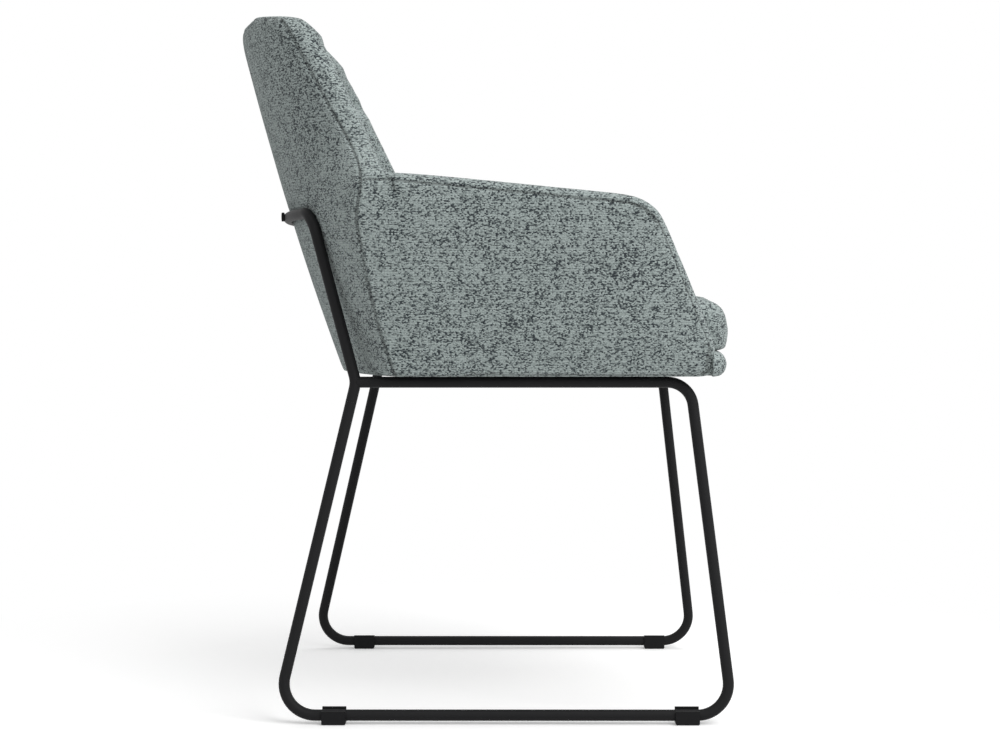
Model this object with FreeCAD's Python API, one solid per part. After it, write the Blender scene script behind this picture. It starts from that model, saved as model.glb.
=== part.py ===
# Visitor armchair: an upholstered bucket shell on a welded sled frame of bent round tube.
# Millimetres, +Z up, floor at Z = 0, the sitter faces -Y, and -X is the sitter's right hand.
# A rise is a height above the foot of the upholstered shell.

import FreeCAD, Part
import math
import os

from FreeCAD import Vector

# Frame tube
tube_od = 13.0
tube_wall = 1.5
tube_r = tube_od / 2
weld_gap = 0.2

# Sled loops, seen from the side, at the corners where the straight runs would meet
glide_sole = 3.7
rail_z = 392.5
foot_rear_y = 235.7
rail_rear_y = 145.4
foot_front_y = -290.8
rail_front_y = -244.4
foot_half_width = 247.0
rail_half_width = 206.0
foot_bend = 36.0
rail_front_bend = 30.0
foot_z = glide_sole + tube_r

# Back hoop
hoop_z = 590.0
hoop_lean = 0.264
hoop_corner_bend = 28.0
hoop_kink_bend = 30.0
hoop_stub = 24.0
hoop_straight = 40.0
hoop_press = 3.0
spigot_half_length = 14.0
spigot_fit = 0.15

# Cross bars under the seat
bar_width = 40.0
bar_thickness = 4.0
bar_front_y = -170.0
bar_rear_y = 20.0

# Glides on the base rails
glide_length = 27.7
glide_wall = 2.2
glide_front_y = -238.5
glide_rear_y = 168.7
glide_fit = 0.1
glide_inner_rise = 2.0
glide_outer_drop = 0.7
glide_mouth = 10.6
glide_chamfer = 1.2

# Shell: outside of the arms and of the rounded back
rest_gap = 0.5
shell_z = rail_z + tube_r + rest_gap
side_half_foot = 236.0
side_lean = 0.262
side_seam_foot_y = 98.0
side_seam_lean = 0.36
side_seam_bow = 0.00075
rear_foot_y = 175.0
rear_lean = 0.364
rear_bow = 0.000135

# Ridge where the outer back meets the inner back, above the arms
ridge_rise = 333.5
ridge_y = 186.3
ridge_lean = 0.56
ridge_half = 215.0
ridge_taper = 0.36
ridge_flare = 0.0012
shoulder_drop = 48.0
shoulder_lift = 42.0
head_room = 8.0
shell_slices = 13

# Side view of the shell: foot, chin and nose of the arm, crook behind it, knee and brow of the back
arm_front_y = -268.0
arm_foot_round = 14.0
chin_rise = 34.5
chin_round = 40.0
nose_y = -193.0
nose_rise = 205.0
nose_round = 48.0
crook_rise = 233.0
crook_round = 8.0
knee_rise = 352.5
knee_round = 60.0
brow_y = 236.0
brow_rise = 443.5
brow_round = 30.0
crown_slope = 0.243

# Front view of the top of the back
crown_rise = 441.5
crown_drop = 19.0
crown_half = 192.0
crown_round = 34.0
crown_side_drop = 71.0
crown_side_room = 3.0

# Inside of the shell
arm_thickness = 38.0
arm_thicken = 0.027
arm_round = 13.0
back_thickness = 75.0
corner_foot_y = 15.0
corner_lean = 0.373
wing_lean = 0.485
wing_edge = 18.0

# Covers and sewing lines
cover = 5.0
fit = 0.3
arm_seam_drop = 9.0
channel_rise = 370.5
channel_radius = 7.0
channel_y = 178.0
channel_slope = 0.5

# Boards inside the shell
board = 9.0
board_depth = 8.0
board_slices = 5
arm_board_margin = 20.0
back_board_half = 170.0
back_board_low = 30.0
back_board_high = 390.0
seat_board = 12.0
seat_board_half = 185.0
seat_board_front_y = -262.0
seat_board_rear_y = 60.0

# Lower pad and cushion
pad_height = 28.8
pad_half = 242.0
pad_front_y = -297.0
pad_corner = 24.0
pad_round = 12.0
cushion_gap = 0.8
cushion_height = 66.5
cushion_front_y = -300.0
cushion_bow = 9.0
cushion_corner = 34.0
cushion_top_round = 20.0
cushion_low_round = 7.0

# Fasteners
bolt_d = 6.0
bolt_hole_d = 6.6
bolt_head_d = 11.0
bolt_head = 3.0
washer_d = 14.0
washer = 1.2
nut_barrel_d = 8.0
nut_barrel = 9.5
nut_flange_d = 18.0
nut_flange = 1.5
seat_bolt_half_span = 120.0
hoop_bolt_half_span = 85.0
thread_fit = 0.1

# Dust cover below the seat
dust_cover = 0.8
dust_margin = 8.0
staple_wire = 0.7
staple_width = 10.0
staple_leg = 5.0
staple_count = 4

big = 700.0
x_axis = Vector(1, 0, 0)
y_axis = Vector(0, 1, 0)
z_axis = Vector(0, 0, 1)


# Lines and surfaces of the shell

def side_half(rise):
    return side_half_foot + side_lean * rise


def inner_half(rise):
    return side_half(rise) - arm_thickness - arm_thicken * rise


def side_seam_y(rise):
    return side_seam_foot_y + side_seam_lean * rise - side_seam_bow * rise * rise


def rear_y(rise):
    return rear_foot_y + rear_lean * rise - rear_bow * rise * rise


def ridge_place(rise):
    """Half width and Y of the ridge at a height above the arms."""
    above = rise - ridge_rise
    half = ridge_half - ridge_taper * above + ridge_flare * above * above
    return half, ridge_y + ridge_lean * above


def corner_y(rise):
    """Where the inner back starts: the inner corner behind the arms, then the edge of the wings."""
    low = corner_foot_y + corner_lean * min(rise, crook_rise)
    return low + wing_lean * max(0.0, rise - crook_rise)


def shoulder_share(rise):
    """How far the shape has turned from the arm to the wing of the back, from 0 to 1."""
    share = (rise - crook_rise + shoulder_drop) / (shoulder_drop + shoulder_lift)
    share = max(0.0, min(1.0, share))
    return share * share * (3 - 2 * share)


def side_corner(rise):
    """Half width and Y where the rounded rear ends: along the side seam, then up the ridge."""
    share = shoulder_share(rise)
    half, y = ridge_place(rise)
    half = side_half(rise) + share * (half - side_half(rise))
    return half, side_seam_y(rise) + share * (y - side_seam_y(rise))


def arc_circle(half, side_y, middle_y):
    """Centre Y and radius of the arc through both sides and the middle."""
    depth = middle_y - side_y
    radius = (half * half + depth * depth) / (2 * depth)
    return middle_y - radius, radius


def shell_rises():
    top = crown_rise + head_room
    return [top * k / (shell_slices - 1) for k in range(shell_slices)]


def plan_outside(rise, inset):
    """Plan of the rounded rear of the shell, drawn smaller by the inset."""
    half, side_y = side_corner(rise)
    centre, radius = arc_circle(half, side_y, rear_y(rise))
    x = half - inset
    z = shell_z + rise
    y = centre + math.sqrt((radius - inset) ** 2 - x * x)
    front = corner_y(rise) - back_thickness
    right, left = Vector(-x, y, z), Vector(x, y, z)
    middle = Vector(0, rear_y(rise) - inset, z)
    right_front, left_front = Vector(-x, front, z), Vector(x, front, z)
    return Part.Wire([
        Part.Arc(right, middle, left).toShape(),
        Part.makeLine(left, left_front),
        Part.makeLine(left_front, right_front),
        Part.makeLine(right_front, right),
    ])


def rear_mass(inset):
    """The rounded rear of the shell as a solid, drawn smaller by the inset."""
    return Part.makeLoft([plan_outside(rise, inset) for rise in shell_rises()], True, False)


def inner_edge(rise):
    """Half width of the space inside the shell: between the arms, then between the wings."""
    half, y = side_corner(rise)
    wall = arm_thickness + arm_thicken * rise
    return half - wall - shoulder_share(rise) * (wing_edge - wall)


def plan_inside(rise, room):
    """Plan of the space in front of the inner back, with room left all round."""
    z = shell_z + rise
    x = inner_edge(rise) - room
    y = corner_y(rise) - room
    right, left = Vector(-x, y, z), Vector(x, y, z)
    right_front, left_front = Vector(-x, -big, z), Vector(x, -big, z)
    middle = Vector(0, rear_y(rise) - back_thickness - room, z)
    return Part.Wire([
        Part.Arc(right, middle, left).toShape(),
        Part.makeLine(left, left_front),
        Part.makeLine(left_front, right_front),
        Part.makeLine(right_front, right),
    ])


def seat_space(room):
    """The space between the arms and in front of the inner back, with room left all round."""
    rises = [-head_room] + shell_rises()[1:]
    return Part.makeLoft([plan_inside(rise, room) for rise in rises], True, False)


def rounded_wire(points, radii):
    """Closed outline through the points, each corner rounded by its radius."""
    count = len(points)
    ends, arcs = [], []
    for k, here in enumerate(points):
        back = (points[k - 1] - here).normalize()
        ahead = (points[(k + 1) % count] - here).normalize()
        half = math.acos(back.dot(ahead)) / 2
        middle = (back + ahead).normalize()
        reach = radii[k] / math.tan(half)
        bulge = here + middle * (radii[k] / math.sin(half) - radii[k])
        ends.append((here + back * reach, here + ahead * reach))
        arcs.append(Part.Arc(ends[k][0], bulge, ends[k][1]).toShape() if radii[k] else None)
    edges = []
    for k in range(count):
        if arcs[k]:
            edges.append(arcs[k])
        edges.append(Part.makeLine(ends[k][1], ends[(k + 1) % count][0]))
    return Part.Wire(edges)


def side_block(inset=0.0, drop=0.0, arm_only=False):
    """The side view of the shell as a block across the chair, smaller by the inset and lowered."""
    crook = corner_y(crook_rise)
    knee = corner_y(knee_rise)
    rear = brow_y + big / 2
    points = [(arm_front_y, 0), (arm_front_y, chin_rise), (nose_y, nose_rise)]
    radii = [arm_foot_round, chin_round, nose_round]
    if arm_only:
        arm_slope = (crook_rise - nose_rise) / (crook - nose_y)
        points += [(rear, crook_rise + arm_slope * (rear - crook)), (rear, 0)]
        radii += [0, 0]
    else:
        points += [(crook, crook_rise), (knee, knee_rise), (brow_y, brow_rise)]
        points += [(rear, brow_rise - crown_slope * big / 2), (rear, 0)]
        radii += [crook_round, knee_round, brow_round, 0, 0]
    wire = rounded_wire([Vector(-big, y, shell_z + rise) for y, rise in points], radii)
    if inset:
        wire = wire.makeOffset2D(-inset)
    block = Part.Face(wire).extrude(Vector(2 * big, 0, 0))
    return block.translated(Vector(0, 0, -drop))


def crown_block():
    """Front view of the shell as a block along the chair, with the arched top of the back."""
    top = shell_z + crown_rise
    low = top - crown_drop
    side_rise = crown_rise - crown_side_drop
    side = ridge_place(side_rise)[0] + crown_side_room
    arch_radius = (crown_half ** 2 + crown_drop ** 2) / (2 * crown_drop)
    points = [
        (crown_half, low), (side, shell_z + side_rise), (big, shell_z + side_rise),
        (big, 0), (-big, 0), (-big, shell_z + side_rise), (-side, shell_z + side_rise),
        (-crown_half, low),
    ]
    radii = [crown_round, 0, 0, 0, 0, 0, 0, crown_round]
    body = Part.Face(rounded_wire([Vector(x, -big, z) for x, z in points], radii))
    arch = Part.makeCylinder(arch_radius, 2 * big, Vector(0, -big, top - arch_radius), y_axis)
    arch = arch.common(Part.makeBox(4 * big, 2 * big, big, Vector(-2 * big, -big, low)))
    return body.extrude(Vector(0, 2 * big, 0)).fuse(arch)


def rear_block(line, advance=0.0):
    """Everything behind a curve drawn in the side view, moved forward by the advance."""
    curve = Part.BSplineCurve()
    curve.interpolate([Vector(-big, y - advance, shell_z + rise) for rise, y in line])
    first, last = curve.StartPoint, curve.EndPoint
    rear_low = Vector(-big, big, first.z)
    rear_high = Vector(-big, big, last.z)
    edges = [
        curve.toShape(), Part.makeLine(last, rear_high), Part.makeLine(rear_high, rear_low),
        Part.makeLine(rear_low, first),
    ]
    return Part.Face(Part.Wire(edges)).extrude(Vector(2 * big, 0, 0))


def behind_corner(advance=0.0):
    top = crown_rise + head_room
    low = [(rise, corner_y(rise)) for rise in (-head_room, crook_rise)]
    high = [(rise, corner_y(rise)) for rise in (crook_rise, top)]
    return rear_block(low, advance).fuse(rear_block(high, advance))


def behind_seam(advance=0.0):
    """Everything behind the side seam of the back and, above the arms, behind the ridge."""
    rises = [-head_room] + shell_rises()[1:]
    return rear_block([(rise, side_corner(rise)[1]) for rise in rises], advance)


def below_rise(rise):
    return Part.makeBox(2 * big, 2 * big, shell_z + rise, Vector(-big, -big, 0))


def arm_slab(outer, inner):
    """The right arm between two inclined planes, set in by the given distances."""
    foot, top = 0.0, big
    wires = []
    for rise in (foot, top):
        x_out = -(side_half(rise) - outer)
        x_in = -inner(rise)
        z = shell_z + rise
        corners = [Vector(x, y, z) for x, y in (
            (x_out, -big), (x_in, -big), (x_in, big), (x_out, big), (x_out, -big)
        )]
        wires.append(Part.makePolygon(corners))
    return Part.makeLoft(wires, True, True)


def arm_whole():
    """The right arm up to the inner corner, with its long edges rounded."""
    arm = arm_slab(0, inner_half).common(side_block(arm_only=True))
    edges = []
    for edge in arm.Edges:
        middle = edge.CenterOfMass
        across = abs(edge.tangentAt(edge.FirstParameter).x) > 0.7
        if not across and middle.z > shell_z + 1.0 and edge.BoundBox.YMin < brow_y:
            edges.append(edge)
    return arm.makeFillet(arm_round, edges).cut(behind_corner())


def back_whole():
    back = rear_mass(0).common(side_block()).common(crown_block())
    return back.cut(seat_space(0)).common(behind_corner())


def mirrored(shape):
    return shape.mirror(Vector(0, 0, 0), x_axis)


# Frame

def loop_half_width(z):
    """Half width of the sled at a height: both loops lie in planes that spread to the floor."""
    spread = (foot_half_width - rail_half_width) / (rail_z - foot_z)
    return rail_half_width + spread * (rail_z - z)


def loop_point(y, z):
    return Vector(-loop_half_width(z), y, z)


def bent_path(points, radii):
    """Straight runs between the points, joined by tangent arcs of the given radii."""
    edges = []
    start = points[0]
    for here, before, after, radius in zip(points[1:-1], points[:-2], points[2:], radii):
        back = (before - here).normalize()
        ahead = (after - here).normalize()
        half = math.acos(back.dot(ahead)) / 2
        reach = radius / math.tan(half)
        bulge = here + (back + ahead).normalize() * (radius / math.sin(half) - radius)
        edges.append(Part.makeLine(start, here + back * reach))
        edges.append(Part.Arc(here + back * reach, bulge, here + ahead * reach).toShape())
        start = here + ahead * reach
    edges.append(Part.makeLine(start, points[-1]))
    return edges


def rod(edges, radius):
    """A round bar along a chain of edges."""
    first = edges[0]
    tangent = first.tangentAt(first.FirstParameter)
    ring = Part.Wire(Part.makeCircle(radius, first.valueAt(first.FirstParameter), tangent))
    return Part.Wire(edges).makePipeShell([ring], True, False)


def tube(edges):
    return rod(edges, tube_r).cut(rod(edges, tube_r - tube_wall))


def leg_direction():
    return (loop_point(foot_rear_y, foot_z) - loop_point(rail_rear_y, rail_z)).normalize()


def joint_point():
    """Where the hoop meets the rear leg, a little below the seat rail."""
    return loop_point(rail_rear_y, rail_z) + leg_direction() * hoop_stub


def hoop_edges():
    """Centre line of the hoop: up both sides of the back and round behind it."""
    junction = loop_point(rail_rear_y, rail_z)
    corner = Vector(-rail_half_width, rail_rear_y + hoop_lean * (hoop_z - rail_z), hoop_z)
    middle_y = rear_y(hoop_z - shell_z) + tube_r - hoop_press
    square = corner.x ** 2 + corner.y ** 2 - middle_y ** 2
    centre_y = (hoop_straight ** 2 - square) / (2 * (middle_y - corner.y))
    radius = middle_y - centre_y
    away = Vector(corner.x, corner.y - centre_y, 0)
    angle = math.atan2(away.y, away.x) - math.acos(radius / away.Length)
    touch = Vector(radius * math.cos(angle), centre_y + radius * math.sin(angle), hoop_z)
    points = [joint_point(), junction, corner, touch]
    other = [Vector(-p.x, p.y, p.z) for p in reversed(points)]
    side = bent_path(points, [hoop_kink_bend, hoop_corner_bend])
    across = Part.Arc(touch, Vector(0, middle_y, hoop_z), other[0]).toShape()
    return side + [across] + bent_path(other, [hoop_corner_bend, hoop_kink_bend])


def sled_edges():
    """Centre line of the right sled loop, from the hoop round to the joint below it."""
    corners = [
        loop_point(rail_rear_y, rail_z), loop_point(rail_front_y, rail_z),
        loop_point(foot_front_y, foot_z), loop_point(foot_rear_y, foot_z),
        joint_point() + leg_direction() * weld_gap,
    ]
    return bent_path(corners, [rail_front_bend, foot_bend, foot_bend])


def right_sled_tube():
    return tube(sled_edges()).cut(rod(hoop_edges(), tube_r + weld_gap))


def back_hoop_tube():
    return tube(hoop_edges()).cut(hoop_bolt_holes())


def hoop_bolt_holes():
    """Holes along Y through the hoop and the back in front of it."""
    start_y = rear_y(hoop_z - shell_z) - back_thickness / 2
    return Part.makeCompound([
        Part.makeCylinder(bolt_hole_d / 2, big, Vector(x, start_y, hoop_z), y_axis)
        for x in (-hoop_bolt_half_span, hoop_bolt_half_span)
    ])


def tube_spigot():
    """Plug inside the joint of hoop and rear leg."""
    direction = leg_direction()
    start = joint_point() - direction * spigot_half_length
    return Part.makeCylinder(tube_r - tube_wall - spigot_fit, 2 * spigot_half_length, start, direction)


def seat_bolt_places():
    return [
        Vector(x, y, 0) for y in (bar_front_y, bar_rear_y)
        for x in (-seat_bolt_half_span, seat_bolt_half_span)
    ]


def cross_bar(y):
    """Flat bar between the seat rails, coped to the tubes and drilled for the seat bolts."""
    size = (2 * rail_half_width - tube_r, bar_width, bar_thickness)
    corner = Vector(-size[0] / 2, y - bar_width / 2, rail_z + tube_r - bar_thickness)
    bar = Part.makeBox(*size, corner)
    for side in (-1, 1):
        start = Vector(side * rail_half_width, y - bar_width, rail_z)
        bar = bar.cut(Part.makeCylinder(tube_r + weld_gap, 2 * bar_width, start, y_axis))
    for place in seat_bolt_places():
        bar = bar.cut(Part.makeCylinder(bolt_hole_d / 2, big, place, z_axis))
    return bar


def right_glide(y):
    """Clip-on glide: a block that grips the base rail, with a channel open at the top."""
    reach = tube_r + glide_wall
    x = -foot_half_width
    corner = Vector(x - reach, y - glide_length / 2, 0)
    block = Part.makeBox(2 * reach, glide_length, foot_z + tube_r + glide_inner_rise, corner)
    block = block.makeChamfer(glide_chamfer, [e for e in block.Edges if e.CenterOfMass.z < 1.0])
    over = Vector(x - reach, y - glide_length, foot_z + tube_r - glide_outer_drop)
    body = block.cut(Part.makeBox(reach, 2 * glide_length, big, over))
    start = Vector(x, y - glide_length, foot_z)
    bore = Part.makeCylinder(tube_r + glide_fit, 2 * glide_length, start, y_axis)
    mouth = Part.makeBox(glide_mouth, 2 * glide_length, big, start - x_axis * (glide_mouth / 2))
    return body.cut(bore).cut(mouth)


# Covers and pads

def back_layer(depth):
    return back_shape.cut(rear_mass(depth))


def outer_back_cover():
    layer = back_layer(cover).common(behind_seam())
    return layer.cut(rod(hoop_edges(), tube_r + fit)).cut(hoop_bolt_holes())


def right_side_cover():
    """Outer cover of the right arm, wrapped round to the side seam of the back."""
    front = arm_shape.cut(arm_slab(cover, inner_half)).common(side_block(0, arm_seam_drop))
    rear = back_layer(cover).common(below_rise(crook_rise - arm_seam_drop))
    rear = rear.cut(behind_seam(fit)).common(Part.makeBox(big, 2 * big, big * 2, Vector(-big, -big, 0)))
    return front.fuse(rear).removeSplitter()


def right_arm_pad():
    inner = arm_shape.common(arm_slab(cover + fit, inner_half))
    crest = arm_shape.cut(side_block(0, arm_seam_drop - fit))
    pad = inner.fuse(crest).removeSplitter().cut(behind_corner(fit))
    return pad.cut(right_arm_board(fit))


def right_arm_board(room=0.0):
    """Board inside the right arm, or the pocket for it when room is given."""
    far = board_depth + board + room
    slab = arm_slab(board_depth - room, lambda rise: side_half(rise) - far)
    return slab.common(side_block(arm_board_margin - room)).cut(behind_corner(arm_board_margin - room))


def back_board(room=0.0):
    """Bent board inside the back, or the pocket for it when room is given."""
    half = back_board_half + room
    low = back_board_low - room
    height = back_board_high - back_board_low + 2 * room
    wires = []
    for k in range(board_slices):
        rise = low + height * k / (board_slices - 1)
        centre, radius = arc_circle(*side_corner(rise), rear_y(rise))
        ends = []
        for reach in (radius - board_depth + room, radius - board_depth - board - room):
            ends.append([
                Vector(x, centre + math.sqrt(reach ** 2 - x * x), shell_z + rise)
                for x in (-half, 0, half)
            ])
        rear, front = ends
        wires.append(Part.Wire([
            Part.Arc(*rear).toShape(), Part.makeLine(rear[2], front[2]),
            Part.Arc(*reversed(front)).toShape(), Part.makeLine(front[0], rear[0]),
        ]))
    bent = Part.makeLoft(wires, True, False)
    return bent if room else bent.cut(hoop_bolt_holes()).cut(hoop_nuts(thread_fit))


def inner_back():
    """All of the back inside its covers, with the channel below the head roll."""
    covered = behind_seam(fit).fuse(below_rise(crook_rise - arm_seam_drop + fit))
    body = back_shape.cut(back_layer(cover + fit).common(covered))
    half = inner_edge(channel_rise)
    z = shell_z + channel_rise
    y = corner_y(channel_rise)
    middle = Vector(0, rear_y(channel_rise) - back_thickness, z)
    groove = rod([Part.Arc(Vector(-half, y, z), middle, Vector(half, y, z)).toShape()], channel_radius)
    return body.cut(groove)


def roll_block(advance=0.0):
    """Everything above the inclined cut below the head roll."""
    z = shell_z + channel_rise - advance
    front = z + channel_slope * big
    rear = z - channel_slope * big
    points = [
        Vector(-big, channel_y - big, front), Vector(-big, channel_y + big, rear),
        Vector(-big, channel_y + big, 3 * big), Vector(-big, channel_y - big, 3 * big),
    ]
    return Part.Face(Part.makePolygon(points + points[:1])).extrude(Vector(2 * big, 0, 0))


def head_roll():
    return inner_shape.common(roll_block()).cut(back_board(fit))


def back_inner_pad():
    pad = inner_shape.cut(roll_block(fit)).cut(back_board(fit))
    return pad.cut(hoop_bolt_holes()).cut(hoop_nuts(fit))


def seat_board_shape(room=0.0):
    size = (2 * seat_board_half + 2 * room, seat_board_rear_y - seat_board_front_y + 2 * room)
    corner = Vector(-seat_board_half - room, seat_board_front_y - room, shell_z + dust_cover - room)
    return Part.makeBox(*size, seat_board + 2 * room, corner)


def seat_base_pad():
    """Firm lower pad: as wide as the arms in front of them, and between them behind that."""
    front_face = arm_front_y - fit
    size = (2 * pad_half, front_face - pad_front_y, pad_height)
    front = Part.makeBox(*size, Vector(-pad_half, pad_front_y, shell_z))
    upright = [
        e for e in front.Edges
        if abs(e.tangentAt(e.FirstParameter).z) > 0.9 and e.CenterOfMass.y < front_face - 1.0
    ]
    front = front.makeFillet(pad_corner, upright)
    flat = [
        e for e in front.Edges
        if abs(e.tangentAt(e.FirstParameter).z) < 0.1 and e.CenterOfMass.y < front_face - 1.0
    ]
    front = front.makeFillet(pad_round, flat)
    overlap = pad_front_y + pad_corner
    slab = Part.makeBox(2 * big, big, pad_height, Vector(-big, overlap, shell_z))
    pad = front.fuse(seat_space(fit).common(slab)).removeSplitter()
    pocket = seat_board_shape(fit).fuse(seat_board_shape(fit).translated(Vector(0, 0, -dust_cover)))
    return pad.cut(pocket)


def seat_cushion():
    """Loose-looking cushion with a bowed front, rounded corners and a soft top edge."""
    foot_z = shell_z + pad_height + fit
    top_z = foot_z + cushion_height
    body = seat_space(cushion_gap).common(
        Part.makeBox(2 * big, 2 * big, cushion_height, Vector(-big, -big, foot_z))
    )
    side = inner_half(0)
    bow_y = cushion_front_y + cushion_bow
    radius = (side ** 2 + cushion_bow ** 2) / (2 * cushion_bow)
    front = Part.makeCylinder(radius, 2 * big, Vector(0, cushion_front_y + radius, 0), z_axis)
    body = body.common(front)
    corners = [e for e in body.Edges if e.CenterOfMass.y < bow_y + cushion_bow
               and abs(e.tangentAt(e.FirstParameter).z) > 0.9]
    body = body.makeFillet(cushion_corner, corners)
    top = [e for e in body.Edges if e.BoundBox.ZMin > top_z - 1.0]
    body = body.makeFillet(cushion_top_round, top)
    low = [e for e in body.Edges if e.BoundBox.ZMax < foot_z + 1.0]
    return body.makeFillet(cushion_low_round, low)


# Fasteners and dust cover

def seat_bolt(place):
    """Button-head bolt, up through a cross bar into the seat board."""
    head_z = rail_z + tube_r - bar_thickness - washer
    head = Part.makeCylinder(bolt_head_d / 2, bolt_head, place + z_axis * (head_z - bolt_head), z_axis)
    top_z = shell_z + dust_cover + seat_board
    shank = Part.makeCylinder(bolt_d / 2, top_z - head_z, place + z_axis * head_z, z_axis)
    return head.fuse(shank).removeSplitter()


def seat_washer(place):
    start = place + z_axis * (rail_z + tube_r - bar_thickness - washer)
    ring = Part.makeCylinder(washer_d / 2, washer, start, z_axis)
    return ring.cut(Part.makeCylinder(bolt_hole_d / 2, washer, start, z_axis))


def nut(start, direction, room=0.0):
    """Tee nut: a barrel pushed into a board, with a round flange on the far side."""
    barrel = Part.makeCylinder(nut_barrel_d / 2 + room, nut_barrel, start, direction)
    flange_at = start + direction * nut_barrel
    flange = Part.makeCylinder(nut_flange_d / 2 + room, nut_flange + room, flange_at, direction)
    body = barrel.fuse(flange)
    if room:
        return body
    bore = Part.makeCylinder(bolt_d / 2 + thread_fit, nut_barrel + nut_flange, start, direction)
    return body.removeSplitter().cut(bore)


def seat_nuts(room=0.0):
    top = shell_z + dust_cover + seat_board - nut_barrel - nut_flange
    return Part.makeCompound([nut(p + z_axis * top, z_axis, room) for p in seat_bolt_places()])


def hoop_nut_y(x):
    """Y of the front face of the bent back board at a hoop bolt."""
    rise = hoop_z - shell_z
    half, side_y = side_corner(rise)
    centre, radius = arc_circle(half, side_y, rear_y(rise))
    return centre + math.sqrt((radius - board_depth - board) ** 2 - x * x)


def hoop_nuts(room=0.0):
    """Tee nuts in the back board, their flanges sunk into its front face."""
    nuts = []
    for x in (-hoop_bolt_half_span, hoop_bolt_half_span):
        face = hoop_nut_y(x)
        start = Vector(x, face + nut_barrel_d, hoop_z)
        nuts.append(nut(start, -y_axis, room))
    return Part.makeCompound(nuts)


def hoop_y(x):
    """Y of the rear of the hoop's centre line at a sideways place."""
    probe = Part.makeLine(Vector(x, rear_foot_y, hoop_z), Vector(x, big, hoop_z))
    return probe.distToShape(Part.Wire(hoop_edges()))[1][0][0].y


def hoop_bolt(x):
    start = Vector(x, hoop_y(x) + tube_r, hoop_z)
    head = Part.makeCylinder(bolt_head_d / 2, bolt_head, start, y_axis)
    length = start.y - hoop_nut_y(x)
    return head.fuse(Part.makeCylinder(bolt_d / 2, length, start, -y_axis)).removeSplitter()


def seat_board_piece():
    board_shape = seat_board_shape()
    for place in seat_bolt_places():
        board_shape = board_shape.cut(Part.makeCylinder(bolt_hole_d / 2, big, place, z_axis))
    return board_shape.cut(seat_nuts(thread_fit)).cut(staples(thread_fit))


def dust_sheet():
    half = seat_board_half - dust_margin
    front = seat_board_front_y + dust_margin
    length = seat_board_rear_y - dust_margin - front
    sheet = Part.makeBox(2 * half, length, dust_cover, Vector(-half, front, shell_z))
    for place in seat_bolt_places():
        sheet = sheet.cut(Part.makeCylinder(bolt_hole_d / 2, big, place, z_axis))
    return sheet.cut(staples(thread_fit))


def staple(place, along, room):
    """Flat U staple driven up through the dust cover."""
    wire = staple_wire + 2 * room
    half = staple_width / 2
    side = Vector(along.y, along.x, 0)
    pieces = []
    for start, length, height in (
        (-half, staple_width, staple_wire), (-half, staple_wire, staple_leg),
        (half - staple_wire, staple_wire, staple_leg),
    ):
        size = Vector(wire, wire, height + room) + along * (length - staple_wire)
        corner = place + along * (start - room) - side * (wire / 2)
        pieces.append(Part.makeBox(size.x, size.y, size.z, corner))
    return pieces[0].multiFuse(pieces[1:]).removeSplitter()


def staples(room=0.0):
    """Staples along the four sides of the dust cover, their backs just below it."""
    half = seat_board_half - 2 * dust_margin
    front = seat_board_front_y + 2 * dust_margin
    rear = seat_board_rear_y - 2 * dust_margin
    z = shell_z - staple_wire
    shapes = []
    for k in range(staple_count):
        share = (k + 0.5) / staple_count
        y = front + (rear - front) * share
        x = half * (2 * share - 1)
        shapes += [staple(Vector(side * half, y, z), y_axis, room) for side in (-1, 1)]
        shapes += [staple(Vector(x, end, z), x_axis, room) for end in (front, rear)]
    return Part.makeCompound(shapes)


arm_shape = arm_whole()
back_shape = back_whole()
inner_shape = inner_back()
sled = right_sled_tube()
side_cover = right_side_cover()
arm_pad = right_arm_pad()
arm_board = right_arm_board()
front_glide = right_glide(glide_front_y)
rear_glide = right_glide(glide_rear_y)
spigot = tube_spigot()

nodes = {
    "right_sled_tube": sled,
    "left_sled_tube": mirrored(sled),
    "back_hoop_tube": back_hoop_tube(),
    "tube_spigots": Part.makeCompound([spigot, mirrored(spigot)]),
    "front_cross_bar": cross_bar(bar_front_y),
    "rear_cross_bar": cross_bar(bar_rear_y),
    "right_front_glide": front_glide,
    "left_front_glide": mirrored(front_glide),
    "right_rear_glide": rear_glide,
    "left_rear_glide": mirrored(rear_glide),
    "outer_back_cover": outer_back_cover(),
    "back_inner_pad": back_inner_pad(),
    "head_roll": head_roll(),
    "right_side_cover": side_cover,
    "left_side_cover": mirrored(side_cover),
    "right_arm_pad": arm_pad,
    "left_arm_pad": mirrored(arm_pad),
    "seat_base_pad": seat_base_pad(),
    "seat_cushion": seat_cushion(),
    "seat_board": seat_board_piece(),
    "back_board": back_board(),
    "right_arm_board": arm_board,
    "left_arm_board": mirrored(arm_board),
    "seat_bolts": Part.makeCompound([seat_bolt(place) for place in seat_bolt_places()]),
    "seat_washers": Part.makeCompound([seat_washer(place) for place in seat_bolt_places()]),
    "seat_tee_nuts": seat_nuts(),
    "hoop_bolts": Part.makeCompound([hoop_bolt(x) for x in (-hoop_bolt_half_span, hoop_bolt_half_span)]),
    "hoop_tee_nuts": hoop_nuts(),
    "dust_cover": dust_sheet(),
    "dust_cover_staples": staples(),
}

os.makedirs("parts", exist_ok=True)
for name, shape in nodes.items():
    shape.exportStep("parts/" + name + ".step")
    solids = shape.Solids
    print(name, len(solids), shape.isValid(), round(shape.Volume), shape.BoundBox)
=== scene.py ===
import math

import bpy
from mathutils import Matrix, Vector
from mathutils.bvhtree import BVHTree
from mathutils.kdtree import KDTree


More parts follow.
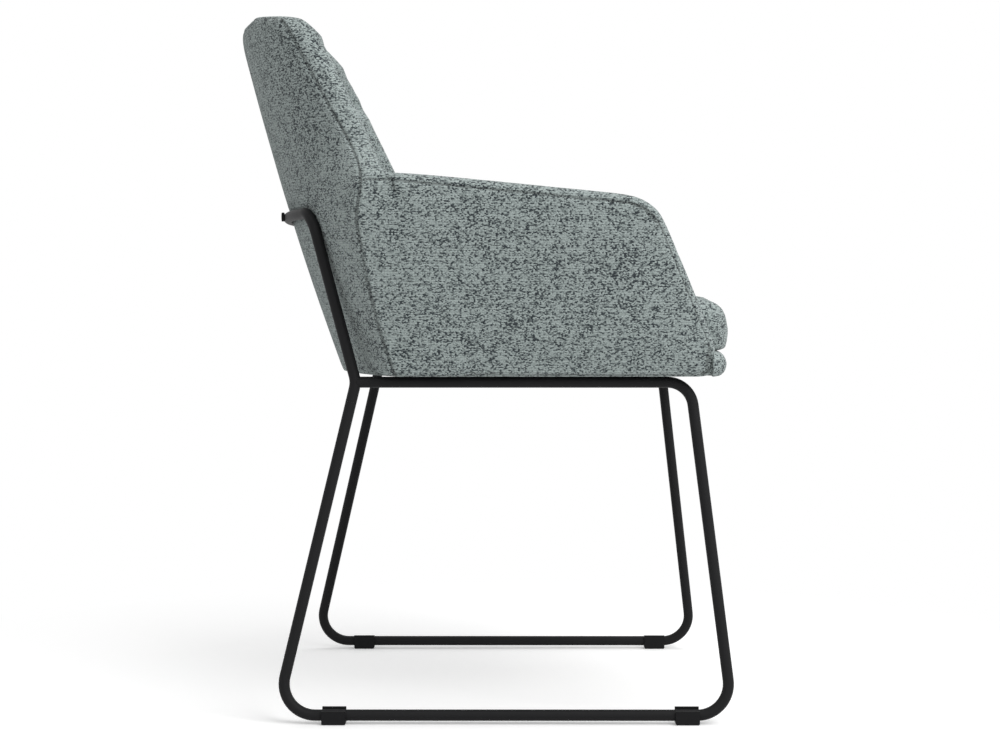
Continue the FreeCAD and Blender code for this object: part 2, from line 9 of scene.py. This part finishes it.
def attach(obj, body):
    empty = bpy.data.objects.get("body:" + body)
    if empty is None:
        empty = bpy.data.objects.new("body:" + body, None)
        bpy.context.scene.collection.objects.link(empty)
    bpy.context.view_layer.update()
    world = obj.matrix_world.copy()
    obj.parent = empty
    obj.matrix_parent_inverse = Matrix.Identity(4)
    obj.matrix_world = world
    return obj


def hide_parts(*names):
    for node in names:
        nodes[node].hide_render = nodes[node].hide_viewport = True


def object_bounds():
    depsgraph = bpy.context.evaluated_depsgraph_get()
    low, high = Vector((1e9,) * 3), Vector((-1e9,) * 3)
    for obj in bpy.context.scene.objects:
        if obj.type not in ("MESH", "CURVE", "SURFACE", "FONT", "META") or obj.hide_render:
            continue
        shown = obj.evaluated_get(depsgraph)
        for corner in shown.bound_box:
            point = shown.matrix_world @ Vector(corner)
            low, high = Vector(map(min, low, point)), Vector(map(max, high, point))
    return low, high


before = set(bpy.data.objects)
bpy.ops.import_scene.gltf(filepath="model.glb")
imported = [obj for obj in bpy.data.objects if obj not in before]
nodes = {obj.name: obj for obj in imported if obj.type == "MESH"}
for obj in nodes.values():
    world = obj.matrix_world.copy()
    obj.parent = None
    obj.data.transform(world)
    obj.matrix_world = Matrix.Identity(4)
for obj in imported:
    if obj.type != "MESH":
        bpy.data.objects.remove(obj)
cad_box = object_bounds()

MM = 0.001
SHELL_NODES = [
    "outer_back_cover", "back_inner_pad", "head_roll",
    "right_side_cover", "left_side_cover", "right_arm_pad", "left_arm_pad",
]
HIDDEN_BOARDS = ["back_board", "right_arm_board", "left_arm_board", "hoop_tee_nuts"]
SEWN_PAIRS = [
    ("outer_back_cover", "back_inner_pad"), ("outer_back_cover", "head_roll"),
    ("outer_back_cover", "right_side_cover"), ("outer_back_cover", "left_side_cover"),
    ("right_side_cover", "right_arm_pad"), ("left_side_cover", "left_arm_pad"),
    ("right_side_cover", "back_inner_pad"), ("left_side_cover", "back_inner_pad"),
]

# Upholstery work
shell_voxel = 4.0 * MM
pad_voxel = 4.5 * MM
cloth_quality = 5
cloth_mass = 0.3
cloth_steps = 12
shell_pressure = 3.0
shell_swell = 3.0 * MM
cushion_pressure = 4.0
cushion_swell = 5.0 * MM
seam_reach = 5.0 * MM
seam_depth = 1.6 * MM
seam_grip = 7.0 * MM
channel_depth = 6.0 * MM
channel_reach = 14.0 * MM
channel_top = 800.0 * MM
channel_fall = 60.0 * MM
channel_half = 200.0 * MM
tuck_places = [-0.16, -0.11, -0.05, 0.05, 0.11, 0.16]
tuck_length = 30.0 * MM
tuck_depth = 1.8 * MM
head_top_drop = 5.0 * MM
head_rear_trim = 4.0 * MM

# How far the inner back is set back (or forward, below 0) at a height, in metres
front_trim = [
    (0.59, 0.0), (0.64, 0.008), (0.72, 0.008), (0.755, 0.005),
    (0.772, -0.001), (0.786, -0.002), (0.80, -0.010), (0.84, -0.012),
]
arm_front_trim = 3.5 * MM

pad_bow = 14.0 * MM
pad_half = 240.0 * MM
cushion_foot = 435.0 * MM
cushion_trim = 2.0 * MM
cushion_fall = 9.0 * MM
cushion_tuck = 9.0 * MM

# Tweed
yarn = 1.6 * MM
row = 2.9 * MM
light_yarn = (166, 177, 175)
middle_yarn = (124, 134, 133)
dark_yarn = (50, 58, 62)

# Frame finish
coat_colour = (36, 36, 37)
glide_colour = (32, 32, 33)

# Studio
camera_place = Vector((-2.465, -0.027, 0.4845))
camera_pitch = 0.037
camera_swing = 0.0019
focal_mm = 69.8
shadow_near = 0.45
shadow_far = 0.9
sensor_mm = 36.0


def linear(colour):
    """An 8-bit screen colour as linear light."""
    return [(c / 255 / 12.92) if c < 11 else ((c / 255 + 0.055) / 1.055) ** 2.4 for c in colour] + [1.0]


def ease(value, low, high):
    """0 below low, 1 above high and smooth between."""
    share = min(1.0, max(0.0, (value - low) / (high - low)))
    return share * share * (3 - 2 * share)


def between(value, table):
    """Straight-line reading of a short table of (place, amount)."""
    for (low, first), (high, second) in zip(table, table[1:]):
        if value <= high:
            share = min(1.0, max(0.0, (value - low) / (high - low)))
            return first + (second - first) * share
    return table[-1][1]


# Handling pieces

def choose(piece):
    for other in list(bpy.context.selected_objects):
        other.select_set(False)
    piece.select_set(True)
    bpy.context.view_layer.objects.active = piece


def apply_modifiers(piece):
    choose(piece)
    for modifier in list(piece.modifiers):
        bpy.ops.object.modifier_apply(modifier=modifier.name)


def copy_of(name, node_names):
    """One new piece from copies of CAD nodes, with their loose triangles welded."""
    copies = []
    for node_name in node_names:
        copy = bpy.data.objects.new(name, nodes[node_name].data.copy())
        bpy.context.scene.collection.objects.link(copy)
        copies.append(copy)
    choose(copies[0])
    for copy in copies[1:]:
        copy.select_set(True)
    if len(copies) > 1:
        bpy.ops.object.join()
    piece = bpy.context.view_layer.objects.active
    piece.name = name
    piece.data.materials.clear()
    bpy.ops.object.mode_set(mode="EDIT")
    bpy.ops.mesh.select_all(action="SELECT")
    bpy.ops.mesh.remove_doubles(threshold=0.01 * MM)
    bpy.ops.object.mode_set(mode="OBJECT")
    return piece


def remesh(piece, voxel):
    modifier = piece.modifiers.new("remesh", "REMESH")
    modifier.mode = "VOXEL"
    modifier.voxel_size = voxel
    apply_modifiers(piece)


def smooth(piece, rounds, share=None):
    """Round a piece off; share(vertex) gives how strongly a point takes part, 0 to 1."""
    modifier = piece.modifiers.new("smooth", "SMOOTH")
    modifier.factor = 0.5
    modifier.iterations = rounds
    if share:
        group = piece.vertex_groups.new(name="rounded")
        for vertex in piece.data.vertices:
            group.add([vertex.index], share(vertex), "REPLACE")
        modifier.vertex_group = "rounded"
    apply_modifiers(piece)
    piece.vertex_groups.clear()


def move_points(piece, shift_of):
    """Move every point by what shift_of(place, normal) gives."""
    shifts = [shift_of(v.co, v.normal) for v in piece.data.vertices]
    for vertex, shift in zip(piece.data.vertices, shifts):
        vertex.co += shift
    piece.data.update()


def surface_of(piece):
    mesh = piece.data
    return BVHTree.FromPolygons([v.co for v in mesh.vertices], [p.vertices for p in mesh.polygons])


def tree_of(points):
    tree = KDTree(len(points))
    for index, point in enumerate(points):
        tree.insert(point, index)
    tree.balance()
    return tree


def inflate(piece, pressure, cap, held):
    """Blow the cover up like a stuffed cushion; held(vertex) gives how far a point stays put, 0 to 1."""
    before = [v.co.copy() for v in piece.data.vertices]
    modifier = piece.modifiers.new("cloth", "CLOTH")
    cloth = modifier.settings
    cloth.quality = cloth_quality
    cloth.mass = cloth_mass
    cloth.use_pressure = True
    cloth.uniform_pressure_force = pressure
    cloth.effector_weights.gravity = 0.0
    group = piece.vertex_groups.new(name="held")
    for vertex in piece.data.vertices:
        group.add([vertex.index], held(vertex), "REPLACE")
    cloth.vertex_group_mass = "held"
    modifier.point_cache.frame_start = 1
    modifier.point_cache.frame_end = cloth_steps
    for step in range(1, cloth_steps + 1):
        bpy.context.scene.frame_set(step)
    apply_modifiers(piece)
    bpy.context.scene.frame_set(1)
    for vertex, start in zip(piece.data.vertices, before):
        shift = vertex.co - start
        if shift.length > cap:
            vertex.co = start + shift * (cap / shift.length)
    piece.vertex_groups.clear()


# Seams

def edge_samples(piece, spacing):
    mesh = piece.data
    for edge in mesh.edges:
        a, b = (mesh.vertices[i].co for i in edge.vertices)
        count = max(1, math.ceil((b - a).length / spacing))
        for k in range(count + 1):
            yield a.lerp(b, k / count)


def seam_points(pair, skin):
    """Points along the outside of the joint between two covers."""
    first = copy_of("seam_first", [pair[0]])
    second = copy_of("seam_second", [pair[1]])
    other = surface_of(second)
    points = []
    for point in edge_samples(first, 2 * MM):
        if other.find_nearest(point, 0.6 * MM)[0] and skin.find_nearest(point, 3.6 * MM)[0]:
            points.append(point)
    bpy.data.objects.remove(first)
    bpy.data.objects.remove(second)
    return points


def refine_near(piece, tree, reach, times):
    """Smaller faces along a seam, so that it can be drawn in."""
    for k in range(times):
        mesh = piece.data
        choose(piece)
        bpy.ops.object.mode_set(mode="EDIT")
        bpy.ops.mesh.select_mode(type="FACE")
        bpy.ops.mesh.select_all(action="DESELECT")
        bpy.ops.object.mode_set(mode="OBJECT")
        for face in mesh.polygons:
            face.select = tree.find(face.center)[2] < reach * (times - k)
        bpy.ops.object.mode_set(mode="EDIT")
        bpy.ops.mesh.subdivide(number_cuts=1)
        bpy.ops.object.mode_set(mode="OBJECT")


def laid_on(piece, points):
    """The points moved onto the nearest place of a piece's surface."""
    skin = surface_of(piece)
    return tree_of([skin.find_nearest(point)[0] for point in points])


def draw_in(piece, tree, reach, depth):
    """Pull the cover in along a seam."""
    def pull(place, normal):
        distance = tree.find(place)[2]
        return normal * -depth * max(0.0, 1 - distance / reach) ** 2

    move_points(piece, pull)


def mark_near(piece, name, tree, reach):
    """Attribute that is 1 on a seam and 0 away from it, for the painted shade along the seams."""
    attribute = piece.data.attributes.new(name, "FLOAT", "POINT")
    values = [max(0.0, 1 - tree.find(v.co)[2] / reach) for v in piece.data.vertices]
    attribute.data.foreach_set("value", values)


# Materials

class Nodes:
    """Short hand for building a material's nodes."""

    def __init__(self, name):
        self.material = bpy.data.materials.new(name)
        self.material.use_nodes = True
        self.tree = self.material.node_tree
        self.shader = self.tree.nodes["Principled BSDF"]

    def add(self, kind, inputs=None, **settings):
        node = self.tree.nodes.new(kind)
        for key, value in settings.items():
            setattr(node, key, value)
        for key, value in (inputs or {}).items():
            if isinstance(value, bpy.types.NodeSocket):
                self.tree.links.new(value, node.inputs[key])
            else:
                node.inputs[key].default_value = value
        return node

    def math(self, operation, a, b=0.0, clamp=False):
        return self.add("ShaderNodeMath", {0: a, 1: b}, operation=operation, use_clamp=clamp).outputs[0]

    def ramp(self, value, stops):
        node = self.add("ShaderNodeValToRGB", {0: value})
        ramp = node.color_ramp
        while len(ramp.elements) < len(stops):
            ramp.elements.new(0.5)
        for element, (place, colour) in zip(ramp.elements, stops):
            element.position = place
            element.color = colour
        return node.outputs[0]

    def link(self, value, socket):
        self.tree.links.new(value, self.shader.inputs[socket])


def tweed(name):
    """Melange wool tweed: rows of light yarn with dark flecks that cluster, with painted shade between the
    knots, between the rows and along the seams.
    """
    n = Nodes(name)
    place = n.add("ShaderNodeTexCoord").outputs["Object"]
    wobble = n.add("ShaderNodeTexNoise", {"Vector": place, "Scale": 60.0, "Detail": 2.0})
    bent = n.add(
        "ShaderNodeVectorMath", {0: wobble.outputs["Color"], 1: (1.2 * MM,) * 3}, operation="MULTIPLY"
    ).outputs[0]
    cloth = n.add("ShaderNodeVectorMath", {0: place, 1: bent}, operation="ADD").outputs[0]
    stretched = n.add("ShaderNodeMapping", {"Vector": cloth, "Scale": (0.75, 0.75, 1.2)}).outputs[0]
    knots = n.add(
        "ShaderNodeTexVoronoi", {"Vector": stretched, "Scale": 1 / yarn, "Randomness": 0.8}
    )
    pick = n.add("ShaderNodeSeparateColor", {0: knots.outputs["Color"]}).outputs[0]
    patches = n.add("ShaderNodeTexNoise", {"Vector": place, "Scale": 75.0, "Detail": 3.0}).outputs[0]
    broad = n.add("ShaderNodeTexNoise", {"Vector": place, "Scale": 9.0, "Detail": 2.0}).outputs[0]
    hairs = n.add("ShaderNodeTexNoise", {"Vector": stretched, "Scale": 1300.0, "Detail": 3.0}).outputs[0]
    cluster = n.math("MULTIPLY", n.math("SUBTRACT", patches, 0.5), 0.75)
    slow = n.math("MULTIPLY", n.math("SUBTRACT", broad, 0.5), 0.35)
    fibre = n.math("MULTIPLY", n.math("SUBTRACT", hairs, 0.5), 0.8)
    mix = n.math("ADD", n.math("ADD", pick, cluster), n.math("ADD", slow, fibre))
    light, middle, dark = (linear(c) for c in (light_yarn, middle_yarn, dark_yarn))
    tone = n.ramp(mix, [(0.14, dark), (0.34, middle), (0.56, light), (0.95, light)])
    # Painted shade: darker towards the edges of each knot and between the rows of yarn, where the weave lies
    # in shade.
    depth = n.math("MULTIPLY", knots.outputs["Distance"], 1.1)
    shade = n.math("SUBTRACT", 1.12, n.math("MULTIPLY", depth, 0.42))
    height_up = n.add("ShaderNodeSeparateXYZ", {0: cloth}).outputs[2]
    wave = n.math("SINE", n.math("MULTIPLY", height_up, 2 * math.pi / row))
    shade = n.math("MULTIPLY", shade, n.math("ADD", 1.0, n.math("MULTIPLY", wave, 0.13)))
    # Painted shade along the seams: the colour is darkened where the drawn-in crease would lie in shade.
    seam = n.add("ShaderNodeAttribute", attribute_name="seam").outputs["Fac"]
    seam_shade = n.math("MULTIPLY", n.math("POWER", seam, 1.4), 0.85)
    shade = n.math("MULTIPLY", shade, n.math("SUBTRACT", 1.0, seam_shade))
    coloured = n.add("ShaderNodeVectorMath", {0: tone, "Scale": shade}, operation="SCALE").outputs[0]
    n.link(coloured, "Base Color")
    n.shader.inputs["Roughness"].default_value = 0.95
    n.shader.inputs["Specular IOR Level"].default_value = 0.2
    n.shader.inputs["Sheen Weight"].default_value = 0.12
    n.shader.inputs["Sheen Roughness"].default_value = 0.6
    height = n.math("ADD", n.math("SUBTRACT", 1.0, depth), n.math("MULTIPLY", hairs, 0.5))
    bump = n.add("ShaderNodeBump", {"Strength": 0.75, "Distance": 0.9 * MM, "Height": height})
    n.link(bump.outputs[0], "Normal")
    return n.material


def coated(name, colour, roughness, grain, strength):
    """Paint or moulded plastic with a fine orange-peel skin."""
    n = Nodes(name)
    place = n.add("ShaderNodeTexCoord").outputs["Object"]
    peel = n.add("ShaderNodeTexNoise", {"Vector": place, "Scale": grain, "Detail": 2.0}).outputs[0]
    worn = n.add("ShaderNodeTexNoise", {"Vector": place, "Scale": 7.0, "Detail": 4.0}).outputs[0]
    dark = [c * 0.86 for c in linear(colour)[:3]] + [1.0]
    tone = n.ramp(worn, [(0.3, dark), (0.7, linear(colour))])
    n.link(tone, "Base Color")
    rough = n.math("ADD", roughness - 0.05, n.math("MULTIPLY", worn, 0.1))
    n.link(rough, "Roughness")
    n.shader.inputs["Specular IOR Level"].default_value = 0.08
    bump = n.add("ShaderNodeBump", {"Strength": strength, "Distance": 0.1 * MM, "Height": peel})
    n.link(bump.outputs[0], "Normal")
    return n.material


def zinc(name):
    n = Nodes(name)
    place = n.add("ShaderNodeTexCoord").outputs["Object"]
    spangle = n.add("ShaderNodeTexVoronoi", {"Vector": place, "Scale": 300.0}).outputs["Distance"]
    n.link(n.ramp(spangle, [(0.0, linear((150, 151, 152))), (1.0, linear((190, 190, 186)))]), "Base Color")
    n.link(n.math("ADD", 0.32, n.math("MULTIPLY", spangle, 0.15)), "Roughness")
    n.shader.inputs["Metallic"].default_value = 1.0
    return n.material


def birch(name):
    """Birch plywood with a fine long grain."""
    n = Nodes(name)
    place = n.add("ShaderNodeTexCoord").outputs["Object"]
    drawn = n.add("ShaderNodeMapping", {"Vector": place, "Scale": (40.0, 6.0, 40.0)}).outputs[0]
    grain = n.add("ShaderNodeTexNoise", {"Vector": drawn, "Scale": 6.0, "Detail": 6.0}).outputs[0]
    tone = n.ramp(grain, [(0.3, linear((176, 142, 100))), (0.7, linear((214, 184, 142)))])
    n.link(tone, "Base Color")
    n.shader.inputs["Roughness"].default_value = 0.7
    bump = n.add("ShaderNodeBump", {"Strength": 0.3, "Distance": 0.2 * MM, "Height": grain})
    n.link(bump.outputs[0], "Normal")
    return n.material


def dust_cloth(name):
    """Thin black non-woven cloth with an embossed grid of dots."""
    n = Nodes(name)
    place = n.add("ShaderNodeTexCoord").outputs["Object"]
    dots = n.add("ShaderNodeTexVoronoi", {"Vector": place, "Scale": 600.0, "Randomness": 0.1})
    fibre = n.add("ShaderNodeTexNoise", {"Vector": place, "Scale": 900.0, "Detail": 3.0}).outputs[0]
    n.link(n.ramp(fibre, [(0.3, linear((18, 18, 19))), (0.7, linear((40, 40, 42)))]), "Base Color")
    n.shader.inputs["Roughness"].default_value = 0.9
    bump = n.add(
        "ShaderNodeBump", {"Strength": 0.6, "Distance": 0.2 * MM, "Height": dots.outputs["Distance"]}
    )
    n.link(bump.outputs[0], "Normal")
    return n.material


def dress(piece, material):
    piece.data.materials.clear()
    piece.data.materials.append(material)


def finish_soft(piece, material, replaced):
    """Dress a padded cover and hide the CAD nodes it stands for."""
    dress(piece, material)
    choose(piece)
    bpy.ops.object.shade_smooth()
    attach(piece, "root")
    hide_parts(*replaced)


# The shell: arms and back are upholstered as one

def channel_height(x):
    """The channel under the head roll is highest in the middle and falls towards the ridges."""
    return channel_top - channel_fall * (x / channel_half) ** 2


def front_points(piece, places):
    """Points on the front of the inner back at the given (x, z) places."""
    skin = surface_of(piece)
    hits = [skin.ray_cast(Vector((x, cad_box[0][1], z)), Vector((0, 1, 0)))[0] for x, z in places]
    return [hit for hit in hits if hit]


def shape_back(place, normal):
    """Softer, fuller head roll over a slightly hollow inner back."""
    forward = ease(-normal.y, 0.0, 0.5)
    rearward = ease(normal.y, 0.2, 0.8)
    high = ease(place.z, 0.79, 0.84)
    y = forward * between(place.z, front_trim) - rearward * high * head_rear_trim
    y -= forward * ease(-place.y, 0.12, 0.18) * arm_front_trim
    return Vector((0, y, -high * head_top_drop))


def make_shell():
    shell = copy_of("shell", SHELL_NODES + HIDDEN_BOARDS)
    remesh(shell, shell_voxel)
    skin = surface_of(shell)
    seams = []
    for pair in SEWN_PAIRS:
        seams += seam_points(pair, skin)
    smooth(shell, 8)
    smooth(shell, 45, lambda vertex: ease(vertex.co.z, 0.71, 0.79))
    move_points(shell, shape_back)
    low = min(v.co.z for v in shell.data.vertices)
    hoop = tree_of([v.co.copy() for v in nodes["back_hoop_tube"].data.vertices])
    sewn = laid_on(shell, seams)

    def held(vertex):
        if vertex.co.z < low + 6 * MM or hoop.find(vertex.co)[2] < 18 * MM:
            return 1.0
        return max(0.0, 1 - sewn.find(vertex.co)[2] / seam_grip)

    inflate(shell, shell_pressure, shell_swell, held)
    steps = [k * 0.01 * channel_half for k in range(-96, 97)]
    channel = tree_of(front_points(shell, [(x, channel_height(x)) for x in steps]))
    draw_in(shell, channel, channel_reach, channel_depth)
    tucks = [(x, channel_height(x) + tuck_length * (k / 12 - 0.8)) for x in tuck_places for k in range(13)]
    draw_in(shell, tree_of(front_points(shell, tucks)), 5 * MM, tuck_depth)
    sewn = laid_on(shell, seams)
    refine_near(shell, sewn, seam_reach, 2)
    draw_in(shell, sewn, seam_reach, seam_depth)
    # The seam attribute carries the painted shade along the seams.
    mark_near(shell, "seam", laid_on(shell, seams), 1.9 * MM)
    return shell


# Seat pad and cushion

def bow_pad(place, normal):
    """The front of the lower pad is bowed: full in the middle, drawn back towards the arms."""
    front = ease(-place.y, 0.265, 0.285)
    return Vector((0, front * pad_bow * (place.x / pad_half) ** 2, 0))


def slope_cushion(place, normal):
    """The top of the cushion falls towards its front edge."""
    front = ease(-place.y, 0.19, 0.285)
    high = ease(place.z, cushion_foot, cushion_foot + 40 * MM)
    inward = -math.copysign(ease(abs(place.x), 0.1, 0.2) * cushion_tuck, place.x)
    return Vector((front * inward, front * cushion_trim, -front * high * cushion_fall))


def make_seat_pad():
    pad = copy_of("seat_base_pad_cover", ["seat_base_pad"])
    remesh(pad, pad_voxel)
    smooth(pad, 5)
    move_points(pad, bow_pad)
    finish_soft(pad, tweed("tweed_seat_pad"), ["seat_base_pad"])
    return pad


def make_cushion():
    cushion = copy_of("seat_cushion_cover", ["seat_cushion"])
    remesh(cushion, pad_voxel)
    smooth(cushion, 6)
    low = min(v.co.z for v in cushion.data.vertices)
    inflate(cushion, cushion_pressure, cushion_swell, lambda v: 1.0 if v.co.z < low + 4 * MM else 0.0)
    move_points(cushion, slope_cushion)
    finish_soft(cushion, tweed("tweed_cushion"), ["seat_cushion"])
    return cushion


# Frame and small hardware keep their CAD shapes

def dress_frame():
    coat = coated("black_powder_coat", coat_colour, 0.5, 2200.0, 0.35)
    moulded = coated("black_moulded_plastic", glide_colour, 0.6, 1500.0, 0.5)
    steel = zinc("zinc_plate")
    ply = birch("birch_plywood")
    black_cloth = dust_cloth("dust_cloth")
    for name, piece in nodes.items():
        if piece.hide_render:
            continue
        if name.endswith("_glide"):
            dress(piece, moulded)
        elif "nut" in name or "washer" in name or "staple" in name or name in ("seat_bolts", "tube_spigots"):
            dress(piece, steel)
        elif name.endswith("_board"):
            dress(piece, ply)
        elif name == "dust_cover":
            dress(piece, black_cloth)
        else:
            dress(piece, coat)


# Studio

def white_for_camera(tree):
    """1 for what the camera, gloss and glass see of the backdrop."""
    path = tree.nodes.new("ShaderNodeLightPath")
    either = tree.nodes.new("ShaderNodeMath")
    either.operation = "MAXIMUM"
    tree.links.new(path.outputs["Is Camera Ray"], either.inputs[0])
    tree.links.new(path.outputs["Is Glossy Ray"], either.inputs[1])
    every = tree.nodes.new("ShaderNodeMath")
    every.operation = "MAXIMUM"
    tree.links.new(either.outputs[0], every.inputs[0])
    tree.links.new(path.outputs["Is Transmission Ray"], every.inputs[1])
    return every.outputs[0]


def make_world():
    world = bpy.data.worlds.new("studio")
    bpy.context.scene.world = world
    world.use_nodes = True
    tree = world.node_tree
    sky = tree.nodes["Background"]
    sky.inputs["Color"].default_value = (1.0, 1.0, 1.0, 1.0)
    sky.inputs["Strength"].default_value = 0.52
    white = tree.nodes.new("ShaderNodeBackground")
    white.inputs["Color"].default_value = (1.0, 1.0, 1.0, 1.0)
    white.inputs["Strength"].default_value = 1.0
    mix = tree.nodes.new("ShaderNodeMixShader")
    tree.links.new(white_for_camera(tree), mix.inputs[0])
    tree.links.new(sky.outputs[0], mix.inputs[1])
    tree.links.new(white.outputs[0], mix.inputs[2])
    tree.links.new(mix.outputs[0], tree.nodes["World Output"].inputs["Surface"])


def make_floor():
    for other in list(bpy.context.selected_objects):
        other.select_set(False)
    bpy.ops.mesh.primitive_plane_add(size=60.0, location=(0, 0, -0.2 * MM))
    floor = bpy.context.object
    floor.name = "floor"
    material = bpy.data.materials.new("pale_floor")
    material.use_nodes = True
    tree = material.node_tree
    paint = tree.nodes["Principled BSDF"]
    paint.inputs["Base Color"].default_value = (0.8, 0.8, 0.8, 1.0)
    paint.inputs["Roughness"].default_value = 1.0
    paint.inputs["Specular IOR Level"].default_value = 0.0
    shadowed = tree.nodes.new("ShaderNodeBsdfDiffuse")
    shadowed.inputs["Color"].default_value = (0.95, 0.95, 0.95, 1.0)
    glow = tree.nodes.new("ShaderNodeEmission")
    glow.inputs["Strength"].default_value = 0.27
    seen = tree.nodes.new("ShaderNodeAddShader")
    tree.links.new(shadowed.outputs[0], seen.inputs[0])
    tree.links.new(glow.outputs[0], seen.inputs[1])
    white = tree.nodes.new("ShaderNodeEmission")
    white.inputs["Strength"].default_value = 1.0
    place = tree.nodes.new("ShaderNodeTexCoord")
    away = tree.nodes.new("ShaderNodeVectorMath")
    away.operation = "LENGTH"
    tree.links.new(place.outputs["Object"], away.inputs[0])
    fade = tree.nodes.new("ShaderNodeMapRange")
    fade.inputs["From Min"].default_value = shadow_near
    fade.inputs["From Max"].default_value = shadow_far
    tree.links.new(away.outputs["Value"], fade.inputs["Value"])
    faded = tree.nodes.new("ShaderNodeMixShader")
    tree.links.new(fade.outputs["Result"], faded.inputs[0])
    tree.links.new(seen.outputs[0], faded.inputs[1])
    tree.links.new(white.outputs[0], faded.inputs[2])
    mix = tree.nodes.new("ShaderNodeMixShader")
    tree.links.new(white_for_camera(tree), mix.inputs[0])
    tree.links.new(paint.outputs[0], mix.inputs[1])
    tree.links.new(faded.outputs[0], mix.inputs[2])
    tree.links.new(mix.outputs[0], tree.nodes["Material Output"].inputs["Surface"])
    dress(floor, material)


def make_lamp(name, place, target, size, power):
    light = bpy.data.lights.new(name, "AREA")
    light.size = size
    light.energy = power
    lamp = bpy.data.objects.new(name, light)
    bpy.context.scene.collection.objects.link(lamp)
    lamp.location = place
    aim = Vector(target) - Vector(place)
    lamp.rotation_euler = aim.to_track_quat("-Z", "Y").to_euler()


def make_camera():
    data = bpy.data.cameras.new("camera")
    data.sensor_width = sensor_mm
    data.lens = focal_mm
    camera = bpy.data.objects.new("camera", data)
    bpy.context.scene.collection.objects.link(camera)
    camera.location = camera_place
    aim = Vector((math.cos(camera_pitch), camera_swing, -math.sin(camera_pitch)))
    camera.rotation_euler = aim.to_track_quat("-Z", "Y").to_euler()
    bpy.context.scene.camera = camera


finish_soft(make_shell(), tweed("tweed_shell"), SHELL_NODES)
make_seat_pad()
make_cushion()
dress_frame()
make_world()
make_floor()
make_lamp("key", (-2.2, -1.9, 2.7), (0, 0, 0.5), 2.2, 76.0)
make_lamp("top", (0.3, -0.6, 3.2), (0, 0, 0.5), 2.5, 30.0)
make_camera()
bpy.context.scene.view_settings.view_transform = "Standard"
